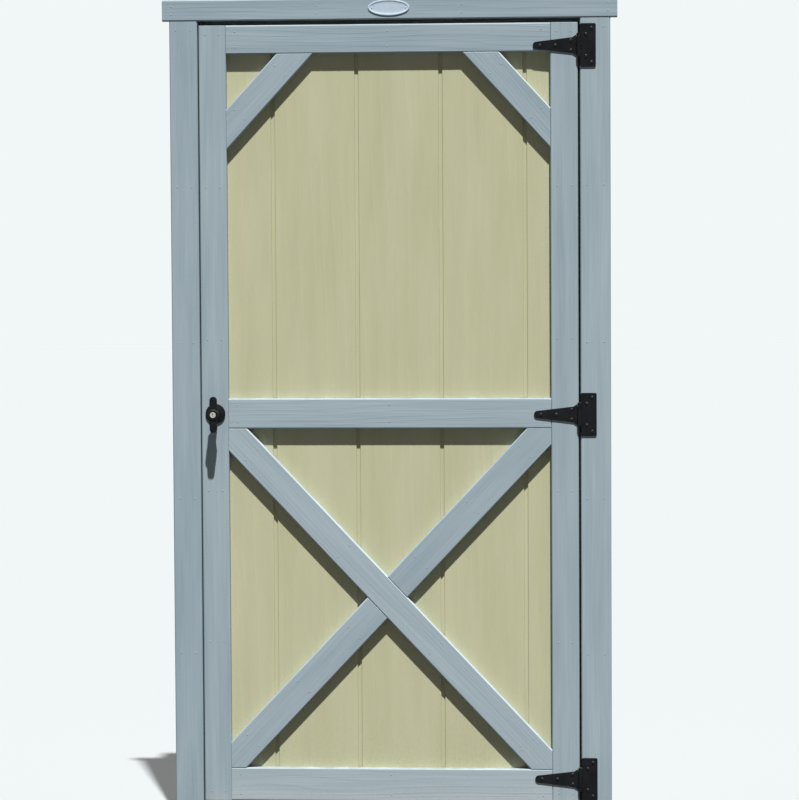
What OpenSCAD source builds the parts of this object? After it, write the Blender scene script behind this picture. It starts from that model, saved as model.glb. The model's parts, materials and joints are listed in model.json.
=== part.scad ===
// Shed entry door in its frame: a grooved siding panel faced with painted trim boards,
// hung on three strap hinges and closed by a keyed T handle.
// X runs across the door, Y goes into the wall and Z is up. The origin is on the underside of the
// sill, below the middle of the leaf, in the plane of the wall face that the casings lie on.

/* [Leaf] */
// Width of the door leaf
leaf_w = 914.4; // [760:0.1:1070]
// Height of the door leaf
leaf_h = 1884; // [1600:1:2150]
// Width of the face stiles
stile_w = 66; // [60:0.5:90]
// Width of the face rail that carries the lock
rail_w = 73; // [66:0.5:95]
// Width of the bottom face rail
bottom_rail_w = 81; // [66:0.5:95]
// Height of the lock rail above the middle of the leaf
lock_rail_rise = 4; // [0:0.5:20]
// Width of the top face rail
top_rail_w = 69; // [66:0.5:95]
// Width of the upper corner braces
brace_w = 66; // [50:0.5:80]
// Width of the crossed braces
cross_w = 71; // [50:0.5:90]
// Thickness of the face boards, on the leaf and on the side casings
trim_t = 19; // [15:0.5:25]
// Thickness of the siding panel
panel_t = 11; // [9:0.5:16]
// Width of the boards that stiffen the back of the panel
back_w = 89; // [70:0.5:120]
// Thickness of the boards that stiffen the back of the panel
back_t = 19; // [17:0.5:38]
// Eased front edge of every face board
edge_ease = 2.4; // [0.5:0.1:3]

/* [Siding grooves] */
// Distance between the upright grooves of the siding
groove_pitch = 203.2; // [100:0.1:305]
// Distance of the first groove from the leaf's strike edge
groove_first = 177; // [80:1:230]
// Width of a groove at the face
groove_w = 10; // [6:0.5:14]
// Width of a groove at its floor
groove_floor_w = 9; // [1:0.5:9.5]
// Depth of a groove
groove_d = 3.5; // [1:0.5:5]

/* [Braces] */
// Length of each upper corner brace along the rail
corner_reach = 212; // [150:1:300]
// Length of each upper corner brace along the stile
corner_drop = 231; // [150:1:300]
// How far the long crossed brace lies below the diagonal of its field
cross_drop = 4; // [0:0.5:20]
// How far the two half braces lie above the other diagonal
half_rise = 11; // [0:0.5:20]

/* [Frame] */
// Gap between the leaf and the frame at the strike side
strike_gap = 3; // [2:0.5:6]
// Gap between the leaf and the frame at the hinge side
hinge_gap = 5; // [3:0.5:8]
// Gap between the leaf and the head
top_gap = 11; // [3:0.5:14]
// Gap between the leaf and the sill
sill_gap = 3; // [2:0.5:12]
// Width of the casing at the strike side
strike_casing_w = 68; // [60:0.5:110]
// Width of the casing at the hinge side
hinge_casing_w = 73; // [60:0.5:110]
// Height of the head casing
head_h = 51; // [40:0.5:140]
// Thickness of the head casing
head_t = 20.5; // [19:0.5:38]
// How far the head casing runs past each side casing
head_overhang = 17; // [0:0.5:40]
// Thickness of the jamb boards
jamb_t = 19; // [15:0.5:38]
// Depth of the jamb boards, which is that of the wall
jamb_d = 100; // [95:1:160]
// Thickness of the stop strips
stop_t = 12; // [9:0.5:18]
// Depth of the stop strips
stop_d = 32; // [20:0.5:40]
// Gap between the closed leaf and the stops
stop_gap = 2; // [1:0.5:4]
// Height of the sill
sill_h = 35; // [25:1:60]
// How far the sill's nose reaches in front of the wall face
sill_nose = 45; // [30:0.5:70]
// How much lower the sill's nose is than its flat top
sill_fall = 5; // [2:0.5:15]

/* [Hinges] */
// Thickness of the hinge metal
hinge_t = 2.5; // [2:0.1:4]
// Diameter of the hinge pin
pin_d = 6; // [5:0.1:9]
// Number of knuckles in one hinge
knuckle_count = 5; // [3:2:7]
// Length of one knuckle, with its share of the play
knuckle_l = 11; // [9:0.5:14]
// Height of the fixed plate
plate_h = 104; // [96:1:140]
// Reach of the fixed plate from the pin
plate_w = 41; // [36:0.5:60]
// Corner radius of the fixed plate
plate_r = 4; // [1:0.5:8]
// Reach of the strap from the pin
strap_l = 110; // [100:1:200]
// Width of the strap beside the knuckles
strap_root_w = 50; // [44:0.5:60]
// Width of the strap just past its shoulder
strap_shoulder_w = 38; // [30:0.5:44]
// Length of the strap's shoulder
strap_shoulder_l = 9; // [4:0.5:14]
// Width of the strap at its round tip
strap_tip_w = 18; // [14:0.5:30]
// Distance from the head casing down to the top hinge's plate
plate_head_gap = 14; // [4:0.5:22]
// Height of the bottom hinge above the middle of the bottom rail
bottom_hinge_rise = 17; // [0:0.5:20]
// Distance of the middle hinge below the middle of the lock rail
middle_hinge_drop = 3; // [0:0.5:14]

/* [Screws] */
// Diameter of a screw's shank
shank_d = 4; // [3:0.1:4.5]
// Diameter of a screw's head
head_d = 8.4; // [6.5:0.1:9]
// Height of a screw's head
head_rise = 2.4; // [1.5:0.1:2.6]
// Wood left between a screw's tip and the back of its board
tip_cover = 1.5; // [1:0.5:4]

/* [Lock] */
// Distance of the lock's spindle from the leaf's strike edge
backset = 34; // [30:0.5:36]
// Distance of the spindle below the middle of the lock rail
lock_drop = 0; // [0:0.5:10]
// Diameter of the round rose
rose_d = 48; // [44:0.5:56]
// Thickness of the rose at its middle
rose_t = 7; // [6:0.5:9]
// Distance of the handle's front from the stile
handle_reach = 53; // [46:0.5:60]
// Length of the handle's grip from tip to tip
grip_l = 87; // [76:0.5:110]
// Width of the grip beside its boss
grip_w = 20; // [18:0.5:24]
// Width of the grip's round tips
grip_tip_w = 17; // [12:0.5:18]
// Thickness of the grip at its middle
grip_t = 13; // [11:0.5:15]
// Radius of the boss that holds the key plug
grip_boss_r = 13; // [11:0.5:15]
// Side of the square spindle
spindle_s = 8; // [6:0.5:9]
// Radius of the key plug
plug_r = 7; // [5:0.5:8]
// Width of the latch cam
cam_w = 16; // [12:0.5:20]
// Thickness of the latch cam
cam_t = 5; // [3:0.5:8]

/* [Hidden] */
$fn = 64;

// Clearances
pin_fit = 0.05;
shank_fit = 0.05;
knuckle_play = 0.5;
knuckle_relief = 0.5;
turn_fit = 0.1;
plug_fit = 0.2;
square_fit = 0.1;
collar_play = 0.5;
cam_clear = 2;
cut_over = 1;

// Levels and planes that the pieces share
strike_x = -leaf_w / 2 - strike_gap;
hinge_x = leaf_w / 2 + hinge_gap;
open_w = hinge_x - strike_x;
leaf_z0 = sill_h + sill_gap;
leaf_z1 = leaf_z0 + leaf_h;
head_z = leaf_z1 + top_gap;
leaf_back = panel_t + back_t;
stop_y0 = leaf_back + stop_gap;
stop_y1 = stop_y0 + stop_d;
field_half = leaf_w / 2 - stile_w;
lock_rail_z = (leaf_z0 + leaf_z1) / 2 + lock_rail_rise;

// Hinge lines
knuckle_r = pin_d / 2 + pin_fit + hinge_t;
sheet_x = knuckle_r + knuckle_relief;
barrel_l = knuckle_count * knuckle_l;
pin_x = leaf_w / 2 + hinge_gap / 2;
pin_y = -trim_t - knuckle_r;
pin_head_inset = 1;
pin_head_r = knuckle_r - pin_head_inset;
pin_head_h = 1.6;
top_hinge_z = head_z - plate_head_gap - plate_h / 2;
middle_hinge_z = lock_rail_z - middle_hinge_drop;
bottom_hinge_z = leaf_z0 + bottom_rail_w / 2 + bottom_hinge_rise;
hinge_zs = [top_hinge_z, middle_hinge_z, bottom_hinge_z];

// Screw places on a hinge, measured from the middle of its pin
plate_screw_end = 11;
plate_screw_edge = 11;
plate_screw_step = 15;
plate_screws_at = [
    for (side = [-1, 1]) each [
        [plate_w - plate_screw_edge, side * (plate_h / 2 - plate_screw_end)],
        [sheet_x + plate_screw_edge, side * (plate_h / 2 - plate_screw_end - plate_screw_step)],
    ],
];
strap_screw_first = 19;
strap_screw_spread = 24;
strap_screw_middle = 56;
strap_screw_tip = 17;
strap_screws_at = [
    [-strap_screw_first, strap_screw_spread / 2],
    [-strap_screw_first, -strap_screw_spread / 2],
    [-strap_screw_middle, 0],
    [-(strap_l - strap_screw_tip), 0],
];
hinge_screw_l = hinge_t + trim_t - tip_cover;

// Lock places
lock_x = backset - leaf_w / 2;
lock_z = lock_rail_z - lock_drop;
neck_r = 9;
neck_room = 1;
spindle_bore_r = neck_r + neck_room;
rose_dome_r = 80;
rose_screw_inset = 8;
rose_screw_at = rose_d / 2 - rose_screw_inset;
rose_seat_t = rose_dome_h(rose_screw_at + head_d / 2);
rose_screw_l = rose_seat_t + trim_t - tip_cover;
collar_z = rose_t + collar_play;
collar_r = 10.5;
collar_h = 2.5;
stem_r = 8;
stem_flare = 9;
grip_sink = 1.5;
grip_z1 = handle_reach - grip_sink;
grip_z0 = grip_z1 - grip_t;
grip_crown_r = 15;
grip_arch_r = 500;
boss_ease = 1.5;
socket_d = 16;
plug_d = 14;
plug_proud = 1;
keyway_w = 1.8;
keyway_h = 8;
keyway_d = 7;
inner_plate_t = 3;
inner_plate_r = backset + strike_gap - stop_t - cam_clear;
inner_screw_at = (spindle_bore_r + inner_plate_r) / 2;
inner_screw_l = inner_plate_t + back_t - tip_cover;
cam_y0 = stop_y1 + cam_clear;
cam_l = backset + strike_gap - cam_clear;
cam_heel = 11;
boss_r = 11;
boss_l = 14;
set_screw_r = 2.5;
set_screw_l = 8;
spindle_over = 2;
spindle_end = cam_y0 + cam_t + boss_l + spindle_over;

// Colours as they look on the finished door
trim_paint = [0.59, 0.66, 0.69];
siding_paint = [0.74, 0.73, 0.60];
bare_pine = [0.80, 0.66, 0.47];
sill_wood = [0.52, 0.38, 0.27];
black_iron = [0.09, 0.09, 0.10];
bright_steel = [0.75, 0.74, 0.71];

// Height of the rose's domed face at a distance from its middle
function rose_dome_h(from_middle) = rose_t - rose_dome_r + sqrt(rose_dome_r ^ 2 - from_middle ^ 2);

// Board along Z with its two front edges eased: w across X, t into the wall
module board(w, t, length) {
    linear_extrude(height = length)
        polygon([
            [0, t], [0, edge_ease], [edge_ease, 0],
            [w - edge_ease, 0], [w, edge_ease], [w, t],
        ]);
}

// Upright board from its lower left front corner
module upright(x, y, z0, z1, w, t) {
    translate([x, y, z0]) board(w, t, z1 - z0);
}

// Level board from its lower left front corner
module level(x0, x1, y, z, w, t) {
    translate([x0, y, z + w]) rotate([0, 90, 0]) board(w, t, x1 - x0);
}

// Round hole or rod along Y
module y_rod(x, z, r, y0, y1) {
    translate([x, y0, z]) rotate([-90, 0, 0]) cylinder(r = r, h = y1 - y0);
}

// Outline with round corners, from its lower left corner
module rounded_rect(w, h, r) {
    translate([r, 0]) square([w - 2 * r, h]);
    translate([0, r]) square([w, h - 2 * r]);
    for (x = [r, w - r], y = [r, h - r]) translate([x, y]) circle(r = r);
}

// Dome-headed screw that enters along +Y, its head seated on the XZ plane
module screw(length) {
    edge_h = head_rise / 3;
    dome_h = head_rise - edge_h;
    dome_r = ((head_d / 2) ^ 2 + dome_h ^ 2) / (2 * dome_h);
    y_rod(0, 0, shank_d / 2, 0, length);
    rotate([90, 0, 0]) intersection() {
        cylinder(d = head_d, h = head_rise);
        translate([0, 0, head_rise - dome_r]) sphere(r = dome_r);
    }
}

// Pilot holes for the screws of a hinge, in the board that they enter
module hinge_pilots(places, zs) {
    for (z = zs, at = places)
        y_rod(pin_x + at[0], z + at[1], shank_d / 2 + shank_fit, -trim_t - cut_over, -tip_cover + shank_fit);
}

// Frame

module side_jamb(side) {
    color(trim_paint)
        translate([side > 0 ? hinge_x : strike_x - jamb_t, 0, 0]) cube([jamb_t, jamb_d, head_z]);
}

module head_jamb() {
    color(trim_paint)
        translate([strike_x - jamb_t, 0, head_z]) cube([open_w + 2 * jamb_t, jamb_d, jamb_t]);
}

module sill() {
    color(sill_wood)
        translate([strike_x, 0, 0]) rotate([90, 0, 90]) linear_extrude(height = open_w)
            polygon([
                [-sill_nose, 0], [jamb_d, 0], [jamb_d, sill_h],
                [-trim_t, sill_h], [-sill_nose, sill_h - sill_fall],
            ]);
}

module strike_casing() {
    color(trim_paint) upright(strike_x - strike_casing_w, -trim_t, 0, head_z, strike_casing_w, trim_t);
}

module hinge_casing() {
    color(trim_paint) difference() {
        upright(hinge_x, -trim_t, 0, head_z, hinge_casing_w, trim_t);
        hinge_pilots(plate_screws_at, hinge_zs);
    }
}

module head_casing() {
    x0 = strike_x - strike_casing_w - head_overhang;
    x1 = hinge_x + hinge_casing_w + head_overhang;
    color(trim_paint) level(x0, x1, -head_t, head_z, head_h, head_t);
}

module side_stop(side) {
    color(trim_paint)
        translate([side > 0 ? hinge_x - stop_t : strike_x, stop_y0, sill_h])
            cube([stop_t, stop_d, head_z - stop_t - sill_h]);
}

module head_stop() {
    color(trim_paint)
        translate([strike_x, stop_y0, head_z - stop_t]) cube([open_w, stop_d, stop_t]);
}

// Leaf

module siding_panel() {
    groove_xs = [for (x = groove_first; x < leaf_w - groove_w; x = x + groove_pitch) x - leaf_w / 2];
    face = [
        [-leaf_w / 2, panel_t], [-leaf_w / 2, 0],
        for (x = groove_xs) each [
            [x - groove_w / 2, 0], [x - groove_floor_w / 2, groove_d],
            [x + groove_floor_w / 2, groove_d], [x + groove_w / 2, 0],
        ],
        [leaf_w / 2, 0], [leaf_w / 2, panel_t],
    ];
    color(siding_paint) difference() {
        translate([0, 0, leaf_z0]) linear_extrude(height = leaf_h) polygon(face);
        y_rod(lock_x, lock_z, spindle_bore_r, -cut_over, panel_t + cut_over);
    }
}

module strike_stile() {
    color(trim_paint) difference() {
        upright(-leaf_w / 2, -trim_t, leaf_z0, leaf_z1, stile_w, trim_t);
        y_rod(lock_x, lock_z, spindle_bore_r, -trim_t - cut_over, cut_over);
        for (side = [-1, 1])
            y_rod(lock_x, lock_z + side * rose_screw_at, shank_d / 2 + shank_fit,
                  -trim_t - cut_over, -tip_cover + shank_fit);
    }
}

module hinge_stile() {
    color(trim_paint) difference() {
        upright(field_half, -trim_t, leaf_z0, leaf_z1, stile_w, trim_t);
        hinge_pilots(strap_screws_at, hinge_zs);
    }
}

module face_rail(z, width, hinge_z) {
    color(trim_paint) difference() {
        level(-field_half, field_half, -trim_t, z, width, trim_t);
        hinge_pilots(strap_screws_at, [hinge_z]);
    }
}

// Brace across an upper corner of the leaf, cut to the stile and the rail
module corner_brace() {
    foot = [-field_half, -trim_t, leaf_z1 - top_rail_w - corner_drop];
    length = norm([corner_reach, corner_drop]);
    color(trim_paint) translate(foot) intersection() {
        translate([0, 0, -brace_w]) cube([corner_reach + brace_w, trim_t, corner_drop + brace_w]);
        rotate([0, atan2(corner_reach, corner_drop), 0])
            translate([-brace_w, 0, -brace_w]) board(brace_w, trim_t, length + 2 * brace_w);
    }
}

// The lower field, which the crossed braces fill about from corner to corner
field_z0 = leaf_z0 + bottom_rail_w;
field_z1 = lock_rail_z - rail_w / 2;
field_h = field_z1 - field_z0;
brace_angle = atan2(2 * field_half, field_h);

module field_block() {
    translate([-field_half, -trim_t, field_z0]) cube([2 * field_half, trim_t, field_h]);
}

// Places children along a diagonal of the lower field: side -1 is the long brace's, 1 that of the halves
module on_diagonal(side) {
    middle_z = (field_z0 + field_z1) / 2 + (side > 0 ? half_rise : -cross_drop);
    translate([0, -trim_t, middle_z]) rotate([0, side * brace_angle, 0]) children();
}

module diagonal_board(side) {
    length = norm([2 * field_half, field_h]) + 2 * cross_w;
    on_diagonal(side) translate([-cross_w / 2, 0, -length / 2]) board(cross_w, trim_t, length);
}

module cross_brace() {
    color(trim_paint) intersection() {
        field_block();
        diagonal_board(-1);
    }
}

// Half brace that butts on the long one, above it or below it
module half_brace(side) {
    reach = leaf_w;
    color(trim_paint) intersection() {
        field_block();
        diagonal_board(1);
        on_diagonal(-1) translate([side > 0 ? cross_w / 2 : -cross_w / 2 - reach, -cut_over, -reach])
            cube([reach, trim_t + 2 * cut_over, 2 * reach]);
    }
}

module back_stile(side) {
    color(bare_pine) difference() {
        translate([side > 0 ? leaf_w / 2 - back_w : -leaf_w / 2, panel_t, leaf_z0]) cube([back_w, back_t, leaf_h]);
        if (side < 0) {
            y_rod(lock_x, lock_z, spindle_bore_r, panel_t - cut_over, leaf_back + cut_over);
            for (end = [-1, 1])
                y_rod(lock_x, lock_z + end * inner_screw_at, shank_d / 2 + shank_fit,
                      panel_t + tip_cover - shank_fit, leaf_back + cut_over);
        }
    }
}

module back_rail(z) {
    rail_half = leaf_w / 2 - back_w;
    color(bare_pine)
        translate([-rail_half, panel_t, z]) cube([2 * rail_half, back_t, back_w]);
}

// Hinges: in these modules the pin is on Z at the origin and the boards lie at y = knuckle_r

function knuckle_z(i) = -barrel_l / 2 + i * knuckle_l;

module knuckle(i, web_dir) {
    z0 = knuckle_z(i) + knuckle_play / 2;
    length = knuckle_l - knuckle_play;
    translate([0, 0, z0]) cylinder(r = knuckle_r, h = length);
    translate([web_dir > 0 ? 0 : -sheet_x, knuckle_r - hinge_t, z0]) cube([sheet_x, hinge_t, length]);
}

// Stands a flat outline of X and Z up as hinge metal
module hinge_sheet() {
    translate([0, knuckle_r, 0]) rotate([90, 0, 0]) linear_extrude(height = hinge_t) children();
}

module hinge_drilling(places) {
    translate([0, 0, -barrel_l]) cylinder(d = pin_d + 2 * pin_fit, h = 2 * barrel_l);
    for (at = places)
        y_rod(at[0], at[1], shank_d / 2 + shank_fit, -cut_over, knuckle_r + cut_over);
}

module hinge_plate() {
    color(black_iron) difference() {
        union() {
            hinge_sheet() difference() {
                translate([hinge_gap / 2, -plate_h / 2]) rounded_rect(plate_w - hinge_gap / 2, plate_h, plate_r);
                translate([0, -barrel_l / 2]) square([sheet_x, barrel_l]);
            }
            for (i = [0:2:knuckle_count - 1]) knuckle(i, 1);
        }
        hinge_drilling(plate_screws_at);
    }
}

module hinge_strap() {
    tip_r = strap_tip_w / 2;
    tip_x = strap_l - tip_r;
    shoulder_x = sheet_x + strap_shoulder_l;
    color(black_iron) difference() {
        union() {
            hinge_sheet() {
                polygon([
                    [-sheet_x, -strap_root_w / 2], [-sheet_x, strap_root_w / 2],
                    [-shoulder_x, strap_shoulder_w / 2], [-tip_x, tip_r],
                    [-tip_x, -tip_r], [-shoulder_x, -strap_shoulder_w / 2],
                ]);
                translate([-tip_x, 0]) circle(r = tip_r);
            }
            for (i = [1:2:knuckle_count - 1]) knuckle(i, -1);
        }
        hinge_drilling(strap_screws_at);
    }
}

module hinge_pin() {
    shaft_l = barrel_l - knuckle_play;
    color(black_iron) {
        translate([0, 0, -shaft_l / 2]) cylinder(d = pin_d, h = shaft_l);
        for (end = [-1, 1])
            translate([0, 0, end > 0 ? shaft_l / 2 : -shaft_l / 2 - pin_head_h])
                cylinder(r = pin_head_r, h = pin_head_h);
    }
}

module hinge_screws(places) {
    color(black_iron)
        for (at = places) translate([at[0], knuckle_r - hinge_t, at[1]]) screw(hinge_screw_l);
}

module at_hinge(z) {
    translate([pin_x, pin_y, z]) children();
}

// Lock: the modules below are drawn flat, with Y up the door and Z out of it

module at_lock() {
    translate([lock_x, -trim_t, lock_z]) rotate([90, 0, 0]) children();
}

module lock_rose() {
    color(black_iron) at_lock() difference() {
        intersection() {
            cylinder(d = rose_d, h = rose_t, $fn = 128);
            translate([0, 0, rose_t - rose_dome_r]) sphere(r = rose_dome_r, $fn = 180);
        }
        translate([0, 0, -cut_over]) cylinder(r = neck_r + turn_fit, h = rose_t + 2 * cut_over);
        for (end = [-1, 1]) {
            translate([0, end * rose_screw_at, -cut_over])
                cylinder(d = shank_d + 2 * shank_fit, h = rose_t + 2 * cut_over);
            translate([0, end * rose_screw_at, rose_seat_t])
                cylinder(d = head_d + 2 * turn_fit, h = rose_t);
        }
    }
}

module rose_screws() {
    color(black_iron)
        for (end = [-1, 1])
            translate([lock_x, -trim_t - rose_seat_t, lock_z + end * rose_screw_at]) screw(rose_screw_l);
}

module inner_plate() {
    color(black_iron) difference() {
        y_rod(lock_x, lock_z, inner_plate_r, leaf_back, leaf_back + inner_plate_t);
        y_rod(lock_x, lock_z, spindle_bore_r, leaf_back - cut_over, leaf_back + inner_plate_t + cut_over);
        for (end = [-1, 1])
            y_rod(lock_x, lock_z + end * inner_screw_at, shank_d / 2 + shank_fit,
                  leaf_back - cut_over, leaf_back + inner_plate_t + cut_over);
    }
}

module inner_plate_screws() {
    color(black_iron)
        for (end = [-1, 1])
            translate([lock_x, leaf_back + inner_plate_t, lock_z + end * inner_screw_at])
                rotate([0, 0, 180]) screw(inner_screw_l);
}

// Bar with round tips that widens towards its middle
module grip_outline() {
    tip_r = grip_tip_w / 2;
    tip_at = grip_l / 2 - tip_r;
    polygon([
        [-grip_w / 2, 0], [-tip_r, -tip_at], [tip_r, -tip_at],
        [grip_w / 2, 0], [tip_r, tip_at], [-tip_r, tip_at],
    ]);
    for (end = [-1, 1]) translate([0, end * tip_at]) circle(r = tip_r);
}

// T-shaped lever: a turned stem with its boss, and a grip whose front is crowned across and arched along
module lever() {
    color(black_iron) at_lock() difference() {
        union() {
            rotate_extrude() polygon([
                [0, collar_play], [neck_r, collar_play], [neck_r, collar_z], [collar_r, collar_z],
                [collar_r, collar_z + collar_h], [stem_r, collar_z + 2 * collar_h],
                [stem_r, grip_z0 - stem_flare], [grip_boss_r, grip_z0],
                [grip_boss_r, handle_reach - boss_ease], [grip_boss_r - boss_ease, handle_reach],
                [0, handle_reach],
            ]);
            intersection() {
                translate([0, 0, grip_z0]) linear_extrude(height = grip_t + cut_over) grip_outline();
                translate([0, grip_l, grip_z1 - grip_crown_r]) rotate([90, 0, 0])
                    cylinder(r = grip_crown_r, h = 2 * grip_l);
                translate([-grip_w, 0, grip_z1 - grip_arch_r]) rotate([0, 90, 0])
                    cylinder(r = grip_arch_r, h = 2 * grip_w, $fn = 180);
            }
        }
        translate([0, 0, handle_reach - plug_d]) cylinder(r = plug_r + plug_fit, h = plug_d + cut_over);
        square_rod(spindle_s + 2 * square_fit, -cut_over, socket_d);
    }
}

// Square rod along Z
module square_rod(side, z0, z1) {
    translate([-side / 2, -side / 2, z0]) cube([side, side, z1 - z0]);
}

module spindle() {
    color(bright_steel) at_lock() square_rod(spindle_s, -trim_t - spindle_end, socket_d - square_fit);
}

module key_plug() {
    color(bright_steel) at_lock() difference() {
        translate([0, 0, handle_reach - plug_d + plug_fit]) cylinder(r = plug_r, h = plug_d - plug_fit + plug_proud);
        translate([-keyway_w / 2, -keyway_h / 2, handle_reach + plug_proud - keyway_d])
            cube([keyway_w, keyway_h, keyway_d + cut_over]);
    }
}

// Latch cam, on the end of the spindle behind the stop; a quarter turn brings it over the stop
module latch_cam() {
    bar_r = cam_w / 2;
    color(bright_steel) at_lock() difference() {
        translate([0, 0, -trim_t - cam_y0 - cam_t]) union() {
            linear_extrude(height = cam_t) {
                translate([-bar_r, -cam_heel]) square([cam_w, cam_heel + cam_l - bar_r]);
                intersection() {
                    translate([0, cam_l - bar_r]) circle(r = bar_r);
                    translate([-bar_r, 0]) square([cam_w, cam_l]);
                }
            }
            translate([0, 0, -boss_l]) cylinder(r = boss_r, h = boss_l);
        }
        square_rod(spindle_s + 2 * square_fit, -trim_t - spindle_end - cut_over, 0);
        at_set_screw() cylinder(r = set_screw_r + shank_fit, h = boss_r + cut_over);
    }
}

module at_set_screw() {
    translate([0, 0, -trim_t - cam_y0 - cam_t - boss_l / 2]) rotate([0, 90, 0]) children();
}

module cam_set_screw() {
    color(black_iron) at_lock() at_set_screw()
        translate([0, 0, spindle_s / 2 + square_fit]) cylinder(r = set_screw_r, h = set_screw_l);
}

side_jamb(-1);  // strike_jamb
side_jamb(1);  // hinge_jamb
head_jamb();
sill();
strike_casing();
hinge_casing();
head_casing();
side_stop(-1);  // strike_stop
side_stop(1);  // hinge_stop
head_stop();
siding_panel();
strike_stile();
hinge_stile();
face_rail(leaf_z1 - top_rail_w, top_rail_w, top_hinge_z);  // top_rail
face_rail(lock_rail_z - rail_w / 2, rail_w, middle_hinge_z);  // lock_rail
face_rail(leaf_z0, bottom_rail_w, bottom_hinge_z);  // bottom_rail
corner_brace();  // left_corner_brace
mirror([1, 0, 0]) corner_brace();  // right_corner_brace
cross_brace();
half_brace(1);  // cross_brace_upper
half_brace(-1);  // cross_brace_lower
back_stile(-1);  // back_strike_stile
back_stile(1);  // back_hinge_stile
back_rail(leaf_z1 - back_w);  // back_top_rail
back_rail(lock_rail_z - back_w / 2);  // back_lock_rail
back_rail(leaf_z0);  // back_bottom_rail
at_hinge(top_hinge_z) hinge_plate();  // top_hinge_plate
at_hinge(top_hinge_z) hinge_pin();  // top_hinge_pin
at_hinge(top_hinge_z) hinge_strap();  // top_hinge_strap
at_hinge(top_hinge_z) hinge_screws(plate_screws_at);  // top_plate_screws
at_hinge(top_hinge_z) hinge_screws(strap_screws_at);  // top_strap_screws
at_hinge(middle_hinge_z) hinge_plate();  // middle_hinge_plate
at_hinge(middle_hinge_z) hinge_pin();  // middle_hinge_pin
at_hinge(middle_hinge_z) hinge_strap();  // middle_hinge_strap
at_hinge(middle_hinge_z) hinge_screws(plate_screws_at);  // middle_plate_screws
at_hinge(middle_hinge_z) hinge_screws(strap_screws_at);  // middle_strap_screws
at_hinge(bottom_hinge_z) hinge_plate();  // bottom_hinge_plate
at_hinge(bottom_hinge_z) hinge_pin();  // bottom_hinge_pin
at_hinge(bottom_hinge_z) hinge_strap();  // bottom_hinge_strap
at_hinge(bottom_hinge_z) hinge_screws(plate_screws_at);  // bottom_plate_screws
at_hinge(bottom_hinge_z) hinge_screws(strap_screws_at);  // bottom_strap_screws
lock_rose();
rose_screws();
inner_plate();
inner_plate_screws();
lever();
spindle();
latch_cam();
cam_set_screw();
key_plug();
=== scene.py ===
# %% [markdown]
# # A painted shed door in its frame
# This lesson dresses a door that already exists as plain solids. The real door is a sheet of grooved
# wood siding, faced with painted boards, hung on three black strap hinges and shut by a keyed T handle.
# The solids give every size and place, so nothing here is measured twice: each cell takes a solid, or
# the box around it, and adds what paint, weather and a saw leave on the real thing.

# %% Load the solids
import json
import math
import random

import bmesh
import bpy
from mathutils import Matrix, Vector


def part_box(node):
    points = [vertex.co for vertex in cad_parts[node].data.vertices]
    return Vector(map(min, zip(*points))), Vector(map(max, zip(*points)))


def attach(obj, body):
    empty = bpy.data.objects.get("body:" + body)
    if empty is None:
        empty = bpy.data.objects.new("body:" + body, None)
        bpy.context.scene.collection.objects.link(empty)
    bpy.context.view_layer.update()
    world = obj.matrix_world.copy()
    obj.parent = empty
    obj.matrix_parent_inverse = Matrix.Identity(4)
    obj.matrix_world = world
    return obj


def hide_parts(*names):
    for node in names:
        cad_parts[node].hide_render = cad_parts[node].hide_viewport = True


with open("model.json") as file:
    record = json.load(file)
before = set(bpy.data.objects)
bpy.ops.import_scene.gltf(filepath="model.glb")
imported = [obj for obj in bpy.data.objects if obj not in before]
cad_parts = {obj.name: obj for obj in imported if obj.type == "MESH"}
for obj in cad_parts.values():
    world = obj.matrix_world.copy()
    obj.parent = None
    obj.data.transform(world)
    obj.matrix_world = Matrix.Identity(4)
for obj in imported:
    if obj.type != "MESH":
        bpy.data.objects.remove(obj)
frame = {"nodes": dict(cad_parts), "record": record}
scene = bpy.context.scene
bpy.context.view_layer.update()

# %% [markdown]
# ## The camera
# The photograph looks at the door nearly square on, from far off, a little right of its middle and above
# the handle. A camera could be placed by eye, but the edges of the boards are straight and their sizes
# are known, so the place, the turn and the focal length were solved from those edges instead.
# The focal length comes out in pixels of the picture, and the lens setting wants millimetres of film.

# %% Camera
PICTURE_WIDTH = 799
FILM_WIDTH = 36.0
FOCAL_PIXELS = 3314.8
CAMERA_PLACE = (0.6035, -8.0, 1.4535)
CAMERA_TURN = (86.875, 0.325, 4.13)

camera_data = bpy.data.cameras.new("camera")
camera_data.sensor_fit = "HORIZONTAL"
camera_data.sensor_width = FILM_WIDTH
camera_data.lens = FOCAL_PIXELS * FILM_WIDTH / PICTURE_WIDTH
camera = bpy.data.objects.new("camera", camera_data)
camera.location = CAMERA_PLACE
camera.rotation_euler = [math.radians(angle) for angle in CAMERA_TURN]
scene.collection.objects.link(camera)
scene.camera = camera
print("lens:", round(camera_data.lens, 1), "mm")

# %% [markdown]
# ## Small helpers for nodes
# Shader and geometry trees are long to write by hand, and most of the lines say the same three things:
# make a node, set its sockets, join its inputs. One helper says all three at once, so that each tree
# below reads like a recipe. Colours that stay the same everywhere go straight onto the shader's socket.

# %% Node helpers
def add(tree, kind, links=None, values=None, **settings):
    """One node: its settings, its plain socket values, and the outputs that feed its sockets."""
    node = tree.nodes.new(kind)
    for name, value in settings.items():
        setattr(node, name, value)
    for name, value in (values or {}).items():
        node.inputs[name].default_value = value
    for name, output in (links or {}).items():
        tree.links.new(output, node.inputs[name])
    return node


def new_group(name, inputs, outputs):
    """A shader node group with named sockets. Returns the tree, its input sockets and its output node."""
    tree = bpy.data.node_groups.new(name, "ShaderNodeTree")
    for label, kind, default in inputs:
        socket = tree.interface.new_socket(name=label, in_out="INPUT", socket_type=kind)
        if default is not None:
            socket.default_value = default
    for label, kind in outputs:
        tree.interface.new_socket(name=label, in_out="OUTPUT", socket_type=kind)
    return tree, tree.nodes.new("NodeGroupInput").outputs, tree.nodes.new("NodeGroupOutput")


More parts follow.
